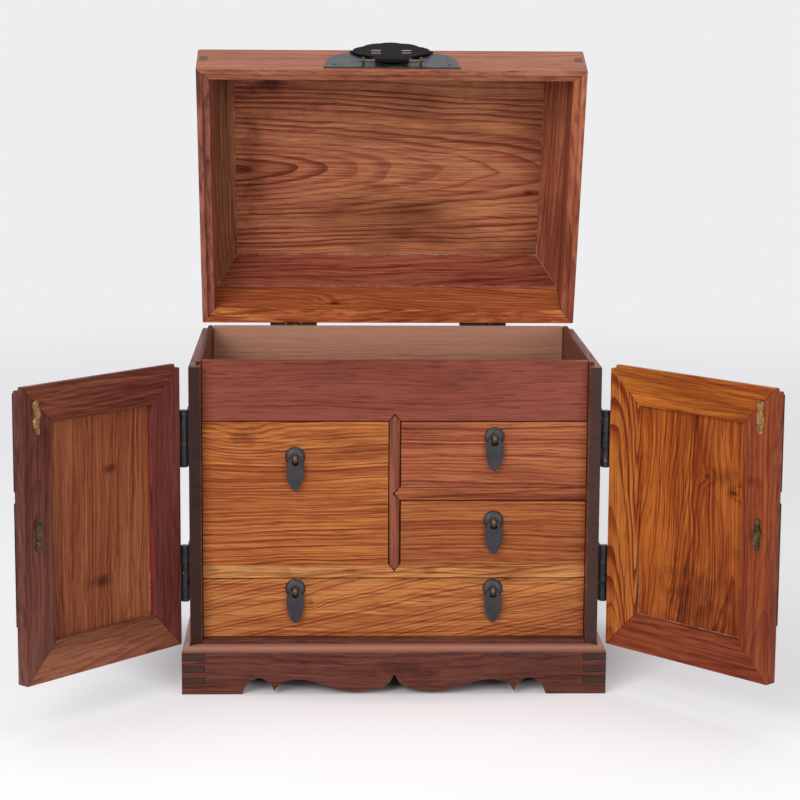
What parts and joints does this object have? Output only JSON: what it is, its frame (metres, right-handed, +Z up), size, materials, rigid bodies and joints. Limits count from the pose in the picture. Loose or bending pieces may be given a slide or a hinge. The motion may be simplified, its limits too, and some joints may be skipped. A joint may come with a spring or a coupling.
{
  "type": "desktop chest",
  "caption": "Wooden desktop chest with a hinged lid over a tray, two framed doors, drawers with leaf-shaped drop pulls, a cusped plinth and dark iron fittings.",
  "frame": {"origin": "on the ground under the middle of the open chest, doors and lid counted", "axes": "+X to the right of someone facing the drawers, +Y to the back, +Z up"},
  "size_m": [0.6274, 0.4676, 0.5616],
  "materials": {
    "honey_wood": "waxed",
    "red_wood": "waxed",
    "dark_wood": "waxed",
    "iron": "dark"
  },
  "bodies": {
    "case": {"side_left": "dark_wood", "side_right": "dark_wood", "back_board": "red_wood", "base_board": "dark_wood", "tray_front": "red_wood", "tray_floor": "red_wood", "drawer_shelf": "honey_wood", "drawer_divider": "honey_wood", "drawer_rail": "honey_wood", "plinth_front": "red_wood", "plinth_back": "red_wood", "plinth_left": "red_wood", "plinth_right": "red_wood", "door_hinge_case_left_upper": "iron", "door_hinge_case_left_lower": "iron", "door_hinge_case_right_upper": "iron", "door_hinge_case_right_lower": "iron", "lid_hinge_case_left": "iron", "lid_hinge_case_right": "iron"},
    "lid": {"lid_front": "red_wood", "lid_back": "honey_wood", "lid_left": "red_wood", "lid_right": "red_wood", "lid_top": "red_wood", "lid_hinge_lid_left": "iron", "lid_hinge_lid_right": "iron", "lid_lock_plate": "iron"},
    "hasp": {"hasp": "iron"},
    "door_left": {"door_left_hinge_stile": "red_wood", "door_left_meeting_stile": "red_wood", "door_left_top_rail": "red_wood", "door_left_bottom_rail": "red_wood", "door_left_panel": "honey_wood", "door_left_upper_plate": "iron", "door_left_lower_plate": "iron", "door_left_hinge_upper": "iron", "door_left_hinge_lower": "iron"},
    "door_right": {"door_right_hinge_stile": "red_wood", "door_right_meeting_stile": "red_wood", "door_right_top_rail": "red_wood", "door_right_bottom_rail": "red_wood", "door_right_panel": "honey_wood", "door_right_upper_plate": "iron", "door_right_lower_plate": "iron", "door_right_hinge_upper": "iron", "door_right_hinge_lower": "iron"},
    "drawer_left": {"drawer_left": "honey_wood", "pull_rosette_left": "iron"},
    "drawer_right_upper": {"drawer_right_upper": "honey_wood", "pull_rosette_right_upper": "iron"},
    "drawer_right_lower": {"drawer_right_lower": "honey_wood", "pull_rosette_right_lower": "iron"},
    "drawer_bottom": {"drawer_bottom": "honey_wood", "pull_rosette_bottom_left": "iron", "pull_rosette_bottom_right": "iron"},
    "drop_left": {"pull_drop_left": "iron"},
    "drop_right_upper": {"pull_drop_right_upper": "iron"},
    "drop_right_lower": {"pull_drop_right_lower": "iron"},
    "drop_bottom_left": {"pull_drop_bottom_left": "iron"},
    "drop_bottom_right": {"pull_drop_bottom_right": "iron"}
  },
  "joints": [
    {"name": "lid_hinge", "type": "hinge", "parent": "case", "child": "lid", "pos_m": [0, 0.1569, 0.29], "axis": [-1, 0, 0], "range_deg": [-69.5, 20]},
    {"name": "hasp_hinge", "type": "hinge", "parent": "lid", "child": "hasp", "pos_m": [0, 0.06973, 0.54598], "axis": [-1, 0, 0], "range_deg": [-185.5, 0]},
    {"name": "door_left_hinge", "type": "hinge", "parent": "case", "child": "door_left", "pos_m": [-0.1832, -0.09695, 0.168], "axis": [0, 0, -1], "range_deg": [-131.5, 45]},
    {"name": "door_right_hinge", "type": "hinge", "parent": "case", "child": "door_right", "pos_m": [0.1832, -0.09695, 0.168], "axis": [0, 0, 1], "range_deg": [-131.5, 45]},
    {"name": "drawer_left_slide", "type": "slide", "parent": "case", "child": "drawer_left", "axis": [0, -1, 0], "range_m": [0, 0.16]},
    {"name": "drawer_right_upper_slide", "type": "slide", "parent": "case", "child": "drawer_right_upper", "axis": [0, -1, 0], "range_m": [0, 0.16]},
    {"name": "drawer_right_lower_slide", "type": "slide", "parent": "case", "child": "drawer_right_lower", "axis": [0, -1, 0], "range_m": [0, 0.16]},
    {"name": "drawer_bottom_slide", "type": "slide", "parent": "case", "child": "drawer_bottom", "axis": [0, -1, 0], "range_m": [0, 0.16]},
    {"name": "drop_left_swing", "type": "hinge", "parent": "drawer_left", "child": "drop_left", "pos_m": [-0.087, -0.0904, 0.2057], "axis": [-1, 0, 0], "range_deg": [-8, 95]},
    {"name": "drop_right_upper_swing", "type": "hinge", "parent": "drawer_right_upper", "child": "drop_right_upper", "pos_m": [0.087, -0.0904, 0.2234], "axis": [-1, 0, 0], "range_deg": [-8, 95]},
    {"name": "drop_right_lower_swing", "type": "hinge", "parent": "drawer_right_lower", "child": "drop_right_lower", "pos_m": [0.087, -0.0904, 0.149], "axis": [-1, 0, 0], "range_deg": [-8, 95]},
    {"name": "drop_bottom_left_swing", "type": "hinge", "parent": "drawer_bottom", "child": "drop_bottom_left", "pos_m": [-0.087, -0.0904, 0.0876], "axis": [-1, 0, 0], "range_deg": [-8, 95]},
    {"name": "drop_bottom_right_swing", "type": "hinge", "parent": "drawer_bottom", "child": "drop_bottom_right", "pos_m": [0.087, -0.0904, 0.0876], "axis": [-1, 0, 0], "range_deg": [-8, 95]}
  ]
}
